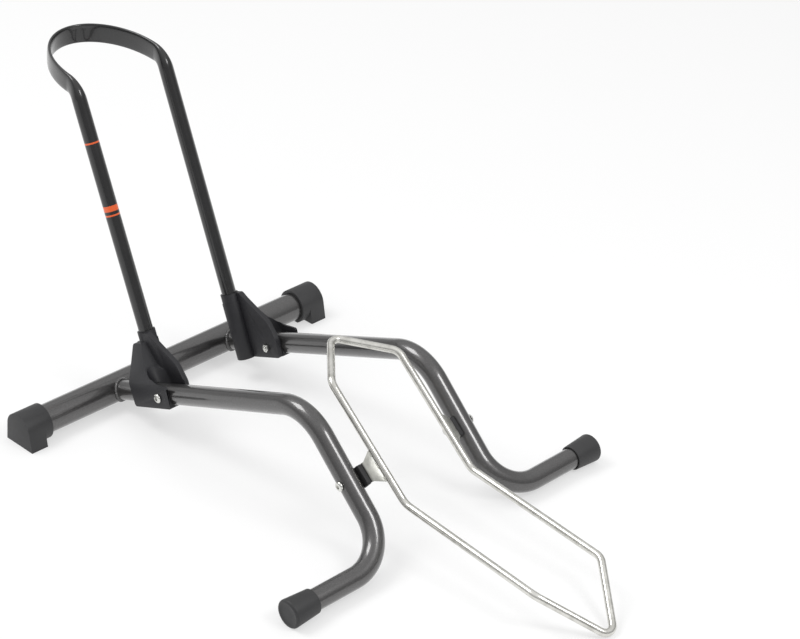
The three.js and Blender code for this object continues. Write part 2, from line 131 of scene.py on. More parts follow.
# how many pattern cells fit in a metre when one cell is this many mm
def perMetre(cell):
    return 1000 / cell


gunmetal = {
    "base": "#515050",
    "flake": "#626161",
    "flakeSize": 0.7,  # real flakes are under 0.1 mm; drawn coarser so that the sparkle shows
    "flakeStart": 0.35,  # share of the flakes that stay as dark as the base
    "roughness": (0.26, 0.36),
    "driftSize": 90,  # slow change of the roughness along the tube
    "peelSize": 7,
    "relief": 0.06,
    "peelDepth": 0.4,
    "flakeDepth": 0.1,
}


# metallic lacquer over steel: dark grey with a fine sparkle,
# under a clear coat that gives long white streaks
def metallicLacquer():
    material, tree, shader, where = newMaterial("gunmetal metallic lacquer", {
        "Metallic": 0.8,
        "Coat Weight": 1.0,
        "Coat Roughness": 0.06,
        "Coat IOR": 1.5,
    })
    flakes = addNode(
        tree, "ShaderNodeTexVoronoi", {"Scale": perMetre(gunmetal["flakeSize"])}, {"Vector": where}
    )
    shade = addNode(tree, "ShaderNodeValToRGB", links={"Fac": flakes.outputs["Color"]})
    setRamp(
        shade, [(gunmetal["flakeStart"], toLinear(gunmetal["base"])), (1.0, toLinear(gunmetal["flake"]))]
    )
    drift = addNode(
        tree, "ShaderNodeTexNoise", {"Scale": perMetre(gunmetal["driftSize"]), "Detail": 3},
        {"Vector": where},
    )
    rough = addNode(
        tree, "ShaderNodeMapRange", outRange(*gunmetal["roughness"]), {"Value": drift.outputs["Fac"]}
    )
    peel = addNode(
        tree, "ShaderNodeTexNoise", {"Scale": perMetre(gunmetal["peelSize"]), "Detail": 1},
        {"Vector": where},
    )
    bump = addNode(
        tree, "ShaderNodeBump",
        {"Strength": gunmetal["relief"], "Distance": gunmetal["peelDepth"] * mm},
        {"Height": peel.outputs["Fac"]},
    )
    sparkle = addNode(
        tree, "ShaderNodeBump",
        {"Strength": gunmetal["relief"], "Distance": gunmetal["flakeDepth"] * mm},
        {"Height": flakes.outputs["Distance"], "Normal": bump.outputs["Normal"]},
    )
    feed(tree, shader, {
        "Base Color": shade.outputs["Color"],
        "Roughness": rough.outputs["Result"],
        "Normal": sparkle.outputs["Normal"],
        "Coat Normal": bump.outputs["Normal"],
    })
    return material


blackGloss = {
    "base": "#1c1c1d",
    "band": "#e8622c",
    "bands": [(340.4, 2.2), (250.5, 7.6), (241.2, 2.2)],  # how far up from the pivot, and width
    "peelSize": 9,
    "peelDepth": 0.4,
    "relief": 0.1,
    "scuffSize": 25,
    "tone": (0.8, 1.25),
    "roughness": (0.2, 0.3),
}


# stoved gloss enamel: near black, with sharp streaks and a faint orange-peel ripple;
# plain bands are printed on one upright
def glossEnamel():
    material, tree, shader, where = newMaterial("black gloss enamel", {
        "IOR": 1.5,
        "Specular IOR Level": 0.5,
        "Coat Weight": 0.5,
        "Coat Roughness": 0.06,
    })
    along = Vector((0, math.sin(legRise), math.cos(legRise)))
    height = addNode(
        tree, "ShaderNodeVectorMath", {1: along}, {0: where}, operation="DOT_PRODUCT"
    ).outputs["Value"]
    side = addNode(tree, "ShaderNodeSeparateXYZ", links={"Vector": where}).outputs["X"]
    mask = addNode(tree, "ShaderNodeMath", {1: 0.0}, {0: side}, operation="LESS_THAN").outputs["Value"]
    total = None
    for middle, width in blackGloss["bands"]:
        level = bracketPivot.dot(along) + middle * mm
        span = {1: level, 2: width * mm / 2}
        band = addNode(tree, "ShaderNodeMath", span, {0: height}, operation="COMPARE").outputs["Value"]
        if total is not None:
            band = addNode(
                tree, "ShaderNodeMath", links={0: total, 1: band}, operation="MAXIMUM"
            ).outputs["Value"]
        total = band
    printed = addNode(
        tree, "ShaderNodeMath", links={0: total, 1: mask}, operation="MULTIPLY"
    ).outputs["Value"]
    scuff = addNode(
        tree, "ShaderNodeTexNoise",
        {"Scale": perMetre(blackGloss["scuffSize"]), "Detail": 6, "Roughness": 0.6},
        {"Vector": where},
    )
    tone = addNode(
        tree, "ShaderNodeMapRange", outRange(*blackGloss["tone"]), {"Value": scuff.outputs["Fac"]}
    )
    black = addNode(
        tree, "ShaderNodeVectorMath", {0: toLinear(blackGloss["base"])[:3]},
        {"Scale": tone.outputs["Result"]}, operation="SCALE",
    )
    colour = addNode(
        tree, "ShaderNodeMix", {"B": toLinear(blackGloss["band"])},
        {"Factor": printed, "A": black.outputs["Vector"]}, data_type="RGBA",
    )
    rough = addNode(
        tree, "ShaderNodeMapRange", outRange(*blackGloss["roughness"]), {"Value": scuff.outputs["Fac"]}
    )
    peel = addNode(
        tree, "ShaderNodeTexNoise", {"Scale": perMetre(blackGloss["peelSize"]), "Detail": 1},
        {"Vector": where},
    )
    bump = addNode(
        tree, "ShaderNodeBump",
        {"Strength": blackGloss["relief"], "Distance": blackGloss["peelDepth"] * mm},
        {"Height": peel.outputs["Fac"]},
    )
    feed(tree, shader, {
        "Base Color": colour.outputs["Result"],
        "Roughness": rough.outputs["Result"],
        "Normal": bump.outputs["Normal"],
        "Coat Normal": bump.outputs["Normal"],
    })
    return material


moulded = {
    "grainSize": 0.9,  # spark-eroded grain is about 0.2 mm; drawn coarser so that it shows
    "grainDepth": 0.3,
    "relief": 0.22,
    "flowSize": 35,
    "tone": (0.82, 1.2),
    "roughSpread": (-0.06, 0.08),
}


# injection-moulded plastic with a spark-eroded grain: satin black that greys where it faces the light
def mouldedPlastic(name, base, roughness):
    material, tree, shader, where = newMaterial(name, {"IOR": 1.46, "Specular IOR Level": 0.45})
    grain = addNode(
        tree, "ShaderNodeTexNoise",
        {"Scale": perMetre(moulded["grainSize"]), "Detail": 3, "Roughness": 0.7},
        {"Vector": where},
    )
    flow = addNode(
        tree, "ShaderNodeTexNoise", {"Scale": perMetre(moulded["flowSize"]), "Detail": 3}, {"Vector": where}
    )
    tone = addNode(tree, "ShaderNodeMapRange", outRange(*moulded["tone"]), {"Value": flow.outputs["Fac"]})
    colour = addNode(
        tree, "ShaderNodeVectorMath", {0: toLinear(base)[:3]},
        {"Scale": tone.outputs["Result"]}, operation="SCALE",
    )
    span = [roughness + change for change in moulded["roughSpread"]]
    rough = addNode(tree, "ShaderNodeMapRange", outRange(*span), {"Value": grain.outputs["Fac"]})
    bump = addNode(
        tree, "ShaderNodeBump",
        {"Strength": moulded["relief"], "Distance": moulded["grainDepth"] * mm},
        {"Height": grain.outputs["Fac"]},
    )
    feed(tree, shader, {
        "Base Color": colour.outputs["Vector"],
        "Roughness": rough.outputs["Result"],
        "Normal": bump.outputs["Normal"],
    })
    return material


zinc = {
    "wire": ("#c2c1bb", "#dfded9"),  # dull and bright
    "sheet": ("#9d9d98", "#bcbcb6"),
    "screw": ("#c8c8c4", "#e4e4e0"),
    "blotchSize": 12,
    "toneStops": (0.3, 0.6),
    "roughSpread": (-0.05, 0.08),
    "drawSize": 1.0,
    "drawDepth": 0.2,
    "relief": 0.08,
}


# bright zinc plating over drawn steel: silvery, with faint cloudy patches where the plating varies
def zincPlate(name, tones, roughness):
    material, tree, shader, where = newMaterial(name, {"Metallic": 1.0})
    cloud = addNode(
        tree, "ShaderNodeTexNoise",
        {"Scale": perMetre(zinc["blotchSize"]), "Detail": 5, "Roughness": 0.6},
        {"Vector": where},
    )
    shade = addNode(tree, "ShaderNodeValToRGB", links={"Fac": cloud.outputs["Fac"]})
    setRamp(shade, [(stop, toLinear(tone)) for stop, tone in zip(zinc["toneStops"], tones)])
    span = [roughness + change for change in zinc["roughSpread"]]
    rough = addNode(tree, "ShaderNodeMapRange", outRange(*span), {"Value": cloud.outputs["Fac"]})
    fine = addNode(
        tree, "ShaderNodeTexNoise", {"Scale": perMetre(zinc["drawSize"]), "Detail": 2}, {"Vector": where}
    )
    bump = addNode(
        tree, "ShaderNodeBump",
        {"Strength": zinc["relief"], "Distance": zinc["drawDepth"] * mm},
        {"Height": fine.outputs["Fac"]},
    )
    feed(tree, shader, {
        "Base Color": shade.outputs["Color"],
        "Roughness": rough.outputs["Result"],
        "Normal": bump.outputs["Normal"],
    })
    return material


lacquer = metallicLacquer()
enamel = glossEnamel()
capPlastic = mouldedPlastic("moulded cap plastic", "#343435", 0.5)
bracketPlastic = mouldedPlastic("glass-filled bracket nylon", "#27272a", 0.48)
spacerRubber = mouldedPlastic("spacer block rubber", "#2a2a2b", 0.6)
wireZinc = zincPlate("bright zinc wire", zinc["wire"], 0.2)
sheetZinc = zincPlate("zinc-plated sheet steel", zinc["sheet"], 0.34)
screwZinc = zincPlate("zinc-plated fastener steel", zinc["screw"], 0.18)
print("materials made")


def linkObject(name, data):
    thing = bpy.data.objects.new(name, data)
    bpy.context.scene.collection.objects.link(thing)
    return thing


def meshObject(name, shape):
    mesh = bpy.data.meshes.new(name)
    shape.to_mesh(mesh)
    shape.free()
    return linkObject(name, mesh)


# replaces an object by the plain mesh that its modifiers give
def settle(thing, name=None):
    bpy.context.view_layer.update()
    result = thing.evaluated_get(bpy.context.evaluated_depsgraph_get())
    mesh = bpy.data.meshes.new_from_object(result)
    name = name or thing.name
    bpy.data.objects.remove(thing)
    mesh.name = name
    return linkObject(name, mesh)


# smooth faces that stay crisp where they meet at more than this angle
def shadeSmooth(thing, angle=35):
    thing.data.shade_smooth()
    thing.data.set_sharp_from_angle(angle=math.radians(angle))


def finishPiece(thing, body, nodes, material):
    thing.data.materials.clear()
    thing.data.materials.append(material)
    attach(thing, body)
    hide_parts(*nodes)


# the other side's copy of a piece, turned the right way out again
def mirrorPiece(thing, name):
    mesh = thing.data.copy()
    mesh.name = name
    mesh.transform(Matrix.Scale(-1, 4, (1, 0, 0)))
    mesh.flip_normals()
    return linkObject(name, mesh)


# finishes the right piece of a pair, and makes and finishes the left one
def finishPair(right, part, body, material):
    left = mirrorPiece(right, f"{part}_left_skin")
    finishPiece(right, body, [f"{part}_right"], material)
    finishPiece(left, body, [f"{part}_left"], material)


# the same for a weld bead, which stands for no piece of the CAD model
def finishBeads(right, leftName, body):
    for bead in (right, mirrorPiece(right, leftName)):
        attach(bead, body)


# straight runs between corners, each corner rounded by an arc of its radius
def roundedPath(corners, radii, steps=20):
    path = []
    for i, corner in enumerate(corners):
        if not radii[i]:
            path.append(corner.copy())
            continue
        back = (corners[i - 1] - corner).normalized()
        ahead = (corners[(i + 1) % len(corners)] - corner).normalized()
        turn = math.pi - back.angle(ahead)
        centre = corner + (back + ahead).normalized() * radii[i] / math.cos(turn / 2)
        arm = corner + back * radii[i] * math.tan(turn / 2) - centre
        axis = ahead.cross(back).normalized()
        path += [centre + Matrix.Rotation(turn * k / steps, 3, axis) @ arm for k in range(steps + 1)]
    return path


# corners (x, y, radius) in mm as an outline in metres with its corners rounded
def outline(corners, steps=10):
    points = [Vector((x * mm, y * mm, 0)) for x, y, radius in corners]
    return [(p.x, p.y) for p in roundedPath(points, [radius * mm for x, y, radius in corners], steps)]


# a closed solid between two matching outlines
def between(nearPoints, farPoints):
    shape = bmesh.new()
    near = [shape.verts.new(at) for at in nearPoints]
    far = [shape.verts.new(at) for at in farPoints]
    shape.faces.new(near)
    shape.faces.new(list(reversed(far)))
    for i in range(len(near)):
        j = (i + 1) % len(near)
        shape.faces.new((near[i], far[i], far[j], near[j]))
    bmesh.ops.recalc_face_normals(shape, faces=shape.faces)
    return shape


# a prism along X of an outline given as (forward, up) in the frame of a pivot
def prismX(points, low, high):
    return between([(low * mm, -y, z) for y, z in points], [(high * mm, -y, z) for y, z in points])


# a turned solid about X from (radius, x) in mm; it starts and ends on the axis
def turnedX(profile, sides=96):
    shape = bmesh.new()
    rings = []
    for radius, x in profile:
        if radius == 0:
            rings.append([shape.verts.new((x * mm, 0, 0))])
            continue
        turns = [2 * math.pi * k / sides for k in range(sides)]
        rings.append(
            [shape.verts.new((x * mm, radius * mm * math.cos(a), radius * mm * math.sin(a))) for a in turns]
        )
    for one, two in zip(rings, rings[1:]):
        for k in range(sides):
            j = (k + 1) % sides
            corners = [one[k % len(one)], one[j % len(one)], two[j % len(two)], two[k % len(two)]]
            corners = [v for i, v in enumerate(corners) if v not in corners[:i]]
            if len(corners) > 2:
                shape.faces.new(corners)
    bmesh.ops.recalc_face_normals(shape, faces=shape.faces)
    return shape


# a plain rod about X, in mm
def rodX(radius, low, high, sides=96):
    return turnedX([(0, low), (radius, low), (radius, high), (0, high)], sides)


def moved(shape, matrix):
    bmesh.ops.transform(shape, matrix=matrix, verts=shape.verts)
    return shape


# joins and cuts solids in turn: ("UNION" or "DIFFERENCE" or "INTERSECT", shape)
def carve(name, first, steps):
    body = meshObject(name, first)
    tools = []
    for operation, shape in steps:
        tool = meshObject(name + ".tool", shape)
        modifier = body.modifiers.new(operation, "BOOLEAN")
        modifier.operation = operation
        modifier.solver = "EXACT"
        modifier.object = tool
        tools.append(tool)
    body = settle(body, name)
    for tool in tools:
        bpy.data.objects.remove(tool)
    return body


cleaning = {"mergeWithin": 0.02, "flatWithin": 0.5, "crispFrom": 40}  # mm, degrees, degrees


# rounds the sharp edges of a carved solid, as its mould does
def soften(thing, width, angle=32, segments=3):
    shape = bmesh.new()
    shape.from_mesh(thing.data)
    bmesh.ops.remove_doubles(shape, verts=shape.verts, dist=cleaning["mergeWithin"] * mm)
    flat = math.radians(cleaning["flatWithin"])
    bmesh.ops.dissolve_limit(shape, angle_limit=flat, verts=shape.verts, edges=shape.edges)
    shape.to_mesh(thing.data)
    shape.free()
    bevel = thing.modifiers.new("edges", "BEVEL")
    bevel.width = width * mm
    bevel.segments = segments
    bevel.limit_method = "ANGLE"
    bevel.angle_limit = math.radians(angle)
    bevel.harden_normals = False
    thing = settle(thing)
    shadeSmooth(thing, cleaning["crispFrom"])
    return thing


def newTree(name, inputs):
    tree = bpy.data.node_groups.new(name, "GeometryNodeTree")
    for label, kind in inputs:
        tree.interface.new_socket(label, in_out="INPUT", socket_type=kind)
    tree.interface.new_socket("Mesh", in_out="OUTPUT", socket_type="NodeSocketGeometry")
    return tree, addNode(tree, "NodeGroupInput").outputs


def endTree(tree, geometry, material):
    whole = addNode(tree, "GeometryNodeRealizeInstances", links={"Geometry": geometry}).outputs["Geometry"]
    smooth = addNode(tree, "GeometryNodeSetShadeSmooth", links={"Geometry": whole}).outputs["Geometry"]
    finished = addNode(
        tree, "GeometryNodeSetMaterial", links={"Geometry": smooth, "Material": material}
    ).outputs["Geometry"]
    addNode(tree, "NodeGroupOutput", links={"Mesh": finished})


# a round bar swept along a path
def sweepTree():
    tree, given = newTree("roundBarAlongPath", [
        ("Path", "NodeSocketGeometry"),
        ("Radius", "NodeSocketFloat"),
        ("Sides", "NodeSocketInt"),
        ("Finish", "NodeSocketMaterial"),
    ])
    ring = addNode(
        tree, "GeometryNodeCurvePrimitiveCircle",
        links={"Resolution": given["Sides"], "Radius": given["Radius"]},
    )
    bar = addNode(
        tree, "GeometryNodeCurveToMesh", {"Fill Caps": True},
        {"Curve": given["Path"], "Profile Curve": ring.outputs["Curve"]},
    )
    endTree(tree, bar.outputs["Mesh"], given["Finish"])
    return tree


ripple = {"sides": 14, "rings": 8, "coreSides": 12, "least": (1.12, 1.12, 0.55), "most": (1.32, 1.32, 0.75)}


# a weld bead: a core along the seam, and overlapping ripples where the puddle froze
def weldTree():
    tree, given = newTree("weldBeadAlongSeam", [
        ("Seam", "NodeSocketGeometry"),
        ("Bead Radius", "NodeSocketFloat"),
        ("Ripple Spacing", "NodeSocketFloat"),
        ("Seed", "NodeSocketInt"),
        ("Finish", "NodeSocketMaterial"),
    ])
    ring = addNode(
        tree, "GeometryNodeCurvePrimitiveCircle", {"Resolution": ripple["coreSides"]},
        {"Radius": given["Bead Radius"]},
    )
    core = addNode(
        tree, "GeometryNodeCurveToMesh", {"Fill Caps": True},
        {"Curve": given["Seam"], "Profile Curve": ring.outputs["Curve"]},
    )
    points = addNode(
        tree, "GeometryNodeCurveToPoints",
        links={"Curve": given["Seam"], "Length": given["Ripple Spacing"]}, mode="LENGTH",
    )
    drop = addNode(
        tree, "GeometryNodeMeshUVSphere",
        {"Segments": ripple["sides"], "Rings": ripple["rings"]},
        {"Radius": given["Bead Radius"]},
    )
    size = addNode(
        tree, "FunctionNodeRandomValue", {"Min": ripple["least"], "Max": ripple["most"]},
        {"Seed": given["Seed"]}, data_type="FLOAT_VECTOR",
    )
    ripples = addNode(tree, "GeometryNodeInstanceOnPoints", links={
        "Points": points.outputs["Points"],
        "Instance": drop.outputs["Mesh"],
        "Rotation": points.outputs["Rotation"],
        "Scale": size.outputs["Value"],
    })
    both = addNode(tree, "GeometryNodeJoinGeometry")
    tree.links.new(core.outputs["Mesh"], both.inputs["Geometry"])
    tree.links.new(ripples.outputs["Instances"], both.inputs["Geometry"])
    endTree(tree, both.outputs["Geometry"], given["Finish"])
    return tree


# one fastener at each point, turned about the upright axis by the point's own angle
def fastenerTree():
    tree, given = newTree("fastenerAtEachPoint", [
        ("Places", "NodeSocketGeometry"),
        ("Fastener", "NodeSocketObject"),
        ("Finish", "NodeSocketMaterial"),
    ])
    shape = addNode(
        tree, "GeometryNodeObjectInfo", {"As Instance": True}, {"Object": given["Fastener"]},
        transform_space="ORIGINAL",
    )
    turn = addNode(tree, "GeometryNodeInputNamedAttribute", {"Name": "turn"}, data_type="FLOAT_VECTOR")
    copies = addNode(tree, "GeometryNodeInstanceOnPoints", links={
        "Points": given["Places"],
        "Instance": shape.outputs["Geometry"],
        "Rotation": turn.outputs["Attribute"],
    })
    endTree(tree, copies.outputs["Instances"], given["Finish"])
    return tree


sweeping = sweepTree()
welding = weldTree()
fastening = fastenerTree()


# runs a tree on an object with named values, and returns the plain mesh piece
def grow(thing, tree, values, name):
    modifier = thing.modifiers.new(tree.name, "NODES")
    modifier.node_group = tree
    for item in tree.interface.items_tree:
        if item.in_out == "INPUT" and item.name in values:
            modifier[item.identifier] = values[item.name]
    return settle(thing, name)


def pathObject(points, closed=False):
    curve = bpy.data.curves.new("path", "CURVE")
    curve.dimensions = "3D"
    spline = curve.splines.new("POLY")
    spline.points.add(len(points) - 1)
    for point, at in zip(spline.points, points):
        point.co = (*at, 1)
    spline.use_cyclic_u = closed
    return linkObject("path", curve)


def sweep(name, points, radius, sides, material, closed=False):
    values = {"Radius": radius * mm, "Sides": sides, "Finish": material}
    return grow(pathObject(points, closed), sweeping, values, name)


crossTube = {"endRound": 0.8, "sides": 96}


def makeCrossTube():
    half = layout["crossHalf"]
    radius = layout["crossRadius"]
    rim = crossTube["endRound"]
    shape = turnedX([
        (0, -half), (radius - rim, -half), (radius, -half + rim),
        (radius, half - rim), (radius - rim, half), (0, half),
    ], crossTube["sides"])
    tube = meshObject("cross_tube_skin", moved(shape, Matrix.Translation(crossMiddle)))
    shadeSmooth(tube)
    finishPiece(tube, "base", ["cross_tube"], lacquer)


makeCrossTube()

# legs and the weld beads that join them to the cross tube
leg = {
    "crestBend": 68,
    "footBend": 60,
    "footEnd": 261.2,
    "sides": 64,
    "bendSteps": 40,
    "sunk": 6,  # how far the end goes under the cross tube's skin
    "bead": 2.6,
    "ripple": 2.2,
    "seamPoints": 72,
    "seamReach": 60,
    "halvings": 40,
    "seed": 3,
}


def makeLegs():
    spread = layout["legSpread"]
    entry = place(spread, 0, layout["legEntry"])
    crest = place(spread, layout["crestReach"], crestHeight)
    foot = place(spread, footReach, layout["footHeight"])
    end = place(leg["footEnd"], footReach, layout["footHeight"])
    run = (crest - entry).normalized()
    start = entry + run * (layout["crossRadius"] - leg["sunk"]) * mm
    bends = [0, leg["crestBend"] * mm, leg["footBend"] * mm, 0]
    path = roundedPath([start, crest, foot, end], bends, leg["bendSteps"])
    right = sweep("leg_tube_right_skin", path, layout["legRadius"], leg["sides"], lacquer)
    finishPair(right, "leg_tube", "base", lacquer)

    # the seam where the leg's skin meets the cross tube's skin
    seam = []
    up = Vector((0, -run.z, run.y)) * -1
    for k in range(leg["seamPoints"]):
        angle = 2 * math.pi * k / leg["seamPoints"]
        around = Vector((1, 0, 0)) * math.cos(angle) + up * math.sin(angle)
        point = entry + around * layout["legRadius"] * mm
        low, high = 0.0, leg["seamReach"] * mm
        for _ in range(leg["halvings"]):  # halves the stretch of the leg that holds the crossing
            middle = (low + high) / 2
            at = point + run * middle - crossMiddle
            inside = math.hypot(at.y, at.z) < layout["crossRadius"] * mm
            low, high = (middle, high) if inside else (low, middle)
        seam.append(point + run * low)
    values = {
        "Bead Radius": leg["bead"] * mm,
        "Ripple Spacing": leg["ripple"] * mm,
        "Seed": leg["seed"],
        "Finish": lacquer,
    }
    bead = grow(pathObject(seam, True), welding, values, "leg_weld_right")
    finishBeads(bead, "leg_weld_left", "base")


makeLegs()
print("tubes and welds made")

# end caps of the cross tube
endCap = {
    "wall": 4.3,
    "endWall": 3.1,
    "sleeve": 38.9,
    "block": 25.7,
    "footHalf": 27.9,
    "lift": 0.8,
    "round": 1.6,
    "arcSteps": 60,
    "sides": 120,
    "overlap": 4,  # how far the sleeve runs into the block
    "overrun": 5,  # how far the bore is cut past the sleeve's mouth
    "levelCutter": (120, 120, 40),
}


def makeEndCaps():
    crossHeight = crossMiddle.z / mm
    radius = layout["crossRadius"] + layout["gap"] + endCap["wall"]
    outer = layout["crossHalf"] + layout["gap"] + endCap["endWall"]
    inner = outer - endCap["sleeve"]
    foot = endCap["footHalf"]
    side = math.atan2(-crossHeight, foot) + math.acos(radius / math.hypot(foot, crossHeight))
    steps = endCap["arcSteps"]
    arc = [side + (math.pi - 2 * side) * k / steps for k in range(steps + 1)]
    points = [(-foot * mm, 0), (foot * mm, 0)]
    points += [(radius * math.cos(a) * mm, (crossHeight + radius * math.sin(a)) * mm) for a in arc]
    onFloor = Matrix.Translation((0, crossMiddle.y, 0))
    onTube = Matrix.Translation((0, crossMiddle.y, crossMiddle.z))
    blockStart = outer - endCap["block"]
    block = moved(prismX(points, blockStart, outer), onFloor)
    sleeve = moved(rodX(radius, inner, blockStart + endCap["overlap"], endCap["sides"]), onTube)

    # the sleeve is cut level where it would dip under the block's foot
    cutter = bmesh.new()
    bmesh.ops.create_cube(cutter, size=1)
    size = [side * mm for side in endCap["levelCutter"]]
    under = ((inner + outer) / 2 * mm, crossMiddle.y, endCap["lift"] * mm - size[2] / 2)
    moved(cutter, Matrix.Translation(under) @ Matrix.Diagonal((*size, 1)))
    boreRadius = layout["crossRadius"] + layout["gap"]
    bore = moved(rodX(boreRadius, inner - endCap["overrun"], outer - endCap["endWall"]), onTube)
    cuts = [("DIFFERENCE", cutter), ("UNION", block), ("DIFFERENCE", bore)]
    cap = carve("end_cap_right_skin", sleeve, cuts)
    cap = soften(cap, endCap["round"])
    finishPair(cap, "end_cap", "base", capPlastic)


makeEndCaps()

# caps on the feet
footCap = {
    "inner": 16.5,
    "outer": 19,
    "length": 39.5,
    "endWall": 3,
    "round": 3.2,
    "rimSteps": 8,
    "mouthChamfer": (0.5, 0.8),
    "mouthEdge": 0.6,
    "lip": 1.5,
    "lipSlope": 0.8,
    "dish": 0.5,
    "dishCrown": 0.1,
    "crispFrom": 40,
}


def makeFootCaps():
    outer = leg["footEnd"] + layout["gap"] + footCap["endWall"]
    inner = outer - footCap["length"]
    bore = layout["legRadius"] + layout["gap"]
    rim = footCap["round"]
    wide, deep = footCap["mouthChamfer"]
    edge = footCap["mouthEdge"]
    bottom = outer - footCap["endWall"]
    profile = [(0, bottom), (bore, bottom), (bore, inner + deep), (bore + wide, inner)]
    profile += [(footCap["inner"] - edge, inner), (footCap["inner"], inner + edge)]
    for k in range(footCap["rimSteps"] + 1):
        angle = math.pi / 2 * k / footCap["rimSteps"]
        profile.append(
            (footCap["outer"] - rim + rim * math.cos(angle), outer - rim + rim * math.sin(angle))
        )
    lip = footCap["outer"] - rim - footCap["lip"]
    dish = outer - footCap["dish"]
    crown = dish - footCap["dishCrown"]
    profile += [(lip, outer), (lip - footCap["lipSlope"], dish), (lip / 2, crown), (0, crown)]
    shape = moved(turnedX(profile), Matrix.Translation(place(0, footReach, layout["footHeight"])))

    # the bottom is cut level where the cap stands
    everything = shape.verts[:] + shape.edges[:] + shape.faces[:]
    down = Vector((0, 0, -1))
    cut = bmesh.ops.bisect_plane(
        shape, geom=everything, plane_co=(0, 0, 0), plane_no=down, clear_outer=True
    )
    rimEdges = [e for e in cut["geom_cut"] if isinstance(e, bmesh.types.BMEdge)]
    bmesh.ops.contextual_create(shape, geom=rimEdges)
    bmesh.ops.recalc_face_normals(shape, faces=shape.faces)
    cap = meshObject("foot_cap_right_skin", shape)
    shadeSmooth(cap, footCap["crispFrom"])
    finishPair(cap, "foot_cap", "base", capPlastic)


makeFootCaps()
print("caps made")

hoop = {
    "radius": 10,
    "spread": 72.3,
    "setback": 49.1,
    "foot": 18,
    "straight": 399.2,
    "bend": 25.8,
    "turn": 61.5,
    "depth": 100.8,
    "bandWidth": 28,
    "bandThickness": 5.5,
    "squareness": 3.0,  # 2 is round, more is flatter with tighter edges
    "flatAtBend": (0.125, 0.75),  # how far the tube is pressed where the bend starts and ends
    "lastRound": 80,  # below the bend, the last station but one of the straight
    "steps": {"straight": 10, "bend": 40, "loop": 72, "pressed": 16},
    "sides": 64,
    "crispFrom": 60,
}
hoopPlace = Matrix.Translation(bracketPivot) @ Matrix.Rotation(-legRise, 4, "X")


# stations of the right half: point, direction, the thin way across,
# and how far the tube is pressed there
def hoopStations():
    turn = math.radians(hoop["turn"])
    across = Vector((1, 0, 0))
    spread, back, top, bend = hoop["spread"], hoop["setback"], hoop["straight"], hoop["bend"]
    steps = hoop["steps"]
    begun, nearly = hoop["flatAtBend"]
    upright = Vector((0, 0, 1))
    levels = (hoop["foot"], top - bend - hoop["lastRound"], top - bend)
    stations = [(Vector((spread, back, z)), upright, across, 0) for z in levels]
    for k in range(1, steps["straight"] + 1):
        share = k / steps["straight"]
        stations.append((Vector((spread, back, top - bend + bend * share)), upright, across, begun * share))
    for k in range(1, steps["bend"] + 1):
        share = k / steps["bend"]
        angle = turn * share
        out = Vector((0, -math.cos(angle), math.sin(angle)))
        along = Vector((0, math.sin(angle), math.cos(angle)))
        middle = Vector((spread, back + bend, top))
        stations.append((middle + out * bend, along, across, begun + (nearly - begun) * share))
    start = stations[-1][0].copy()
    start.x = 0
    loopAxis = Vector((0, math.sin(turn), math.cos(turn)))
    wide = across.cross(loopAxis) * -1
    for k in range(1, steps["loop"] + 1):
        angle = math.pi / 2 * k / steps["loop"]
        point = start + loopAxis * hoop["depth"] * math.sin(angle)
        point.x = spread * math.cos(angle)
        along = loopAxis * hoop["depth"] * math.cos(angle)
        along.x = -spread * math.sin(angle)
        along.normalize()
        flat = min(1, nearly + (1 - nearly) * k / steps["pressed"])
        stations.append((point, along, wide.cross(along), flat))
    return stations


def makeHoop():
    half = hoopStations()
    flip = Matrix.Scale(-1, 3, (1, 0, 0))
    sections = [(point, thin, along.cross(thin), flat) for point, along, thin, flat in half]
    mirrored = [(flip @ at, flip @ thin, flip @ wide, flat) for at, thin, wide, flat in sections[-2::-1]]
    turns = [2 * math.pi * k / hoop["sides"] for k in range(hoop["sides"])]
    shape = bmesh.new()
    rings = []
    for point, thin, wide, flat in sections + mirrored:
        share = flat * flat * (3 - 2 * flat)
        halfThin = hoop["radius"] + (hoop["bandThickness"] / 2 - hoop["radius"]) * share
        halfWide = hoop["radius"] + (hoop["bandWidth"] / 2 - hoop["radius"]) * share
        power = 2 / (2 + (hoop["squareness"] - 2) * share)
        ring = []
        for c, s in ((math.cos(a), math.sin(a)) for a in turns):
            thinPart = thin * math.copysign(abs(c) ** power, c) * halfThin
            widePart = wide * math.copysign(abs(s) ** power, s) * halfWide
            ring.append(shape.verts.new((point + thinPart + widePart) * mm))
        rings.append(ring)
    for one, two in zip(rings, rings[1:]):
        for k in range(hoop["sides"]):
            j = (k + 1) % hoop["sides"]
            shape.faces.new((one[k], one[j], two[j], two[k]))
    shape.faces.new(list(reversed(rings[0])))
    shape.faces.new(rings[-1])
    bmesh.ops.recalc_face_normals(shape, faces=shape.faces)
    tube = meshObject("hoop_tube_skin", moved(shape, hoopPlace))
    shadeSmooth(tube, hoop["crispFrom"])
    finishPiece(tube, "hoop", ["hoop_tube"], enamel)


makeHoop()
print("hoop made")

